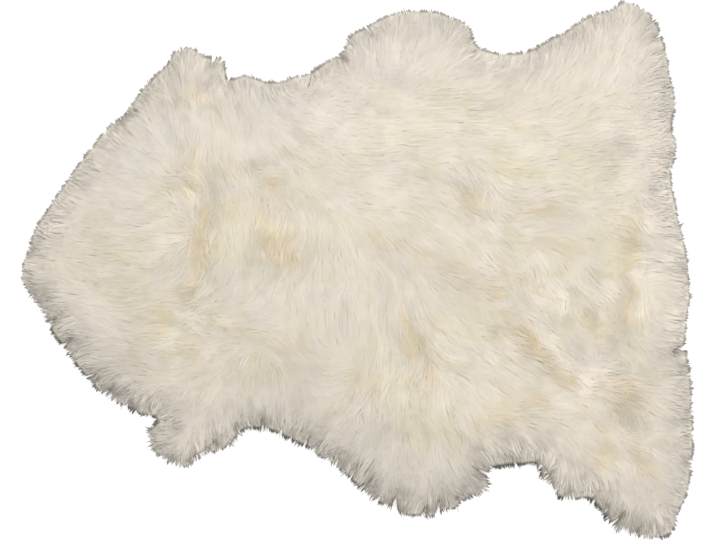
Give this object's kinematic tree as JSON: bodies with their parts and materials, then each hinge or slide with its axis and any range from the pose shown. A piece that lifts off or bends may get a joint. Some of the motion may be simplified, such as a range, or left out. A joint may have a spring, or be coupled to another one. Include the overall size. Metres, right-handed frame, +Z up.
{
  "type": "sheepskin rug",
  "caption": "Single-pelt sheepskin rug with long ivory wool, laid flat wool side up, with neck, leg and belly lobes in its outline.",
  "frame": {"origin": "on the floor, at the middle of the pelt's bounding box", "axes": "+X from the neck to the rump, +Y to the pelt's right flank, +Z up out of the wool"},
  "size_m": [0.9416, 0.7524, 0.0548],
  "materials": {
    "wool": "long, soft, matt ivory wool with warm cream stains and a grey cast at the tips round the rim",
    "hide": "napped suede flesh side of the tanned hide, seen only from below"
  },
  "bodies": {
    "root": {"sheepskin": "wool"}
  },
  "joints": []
}
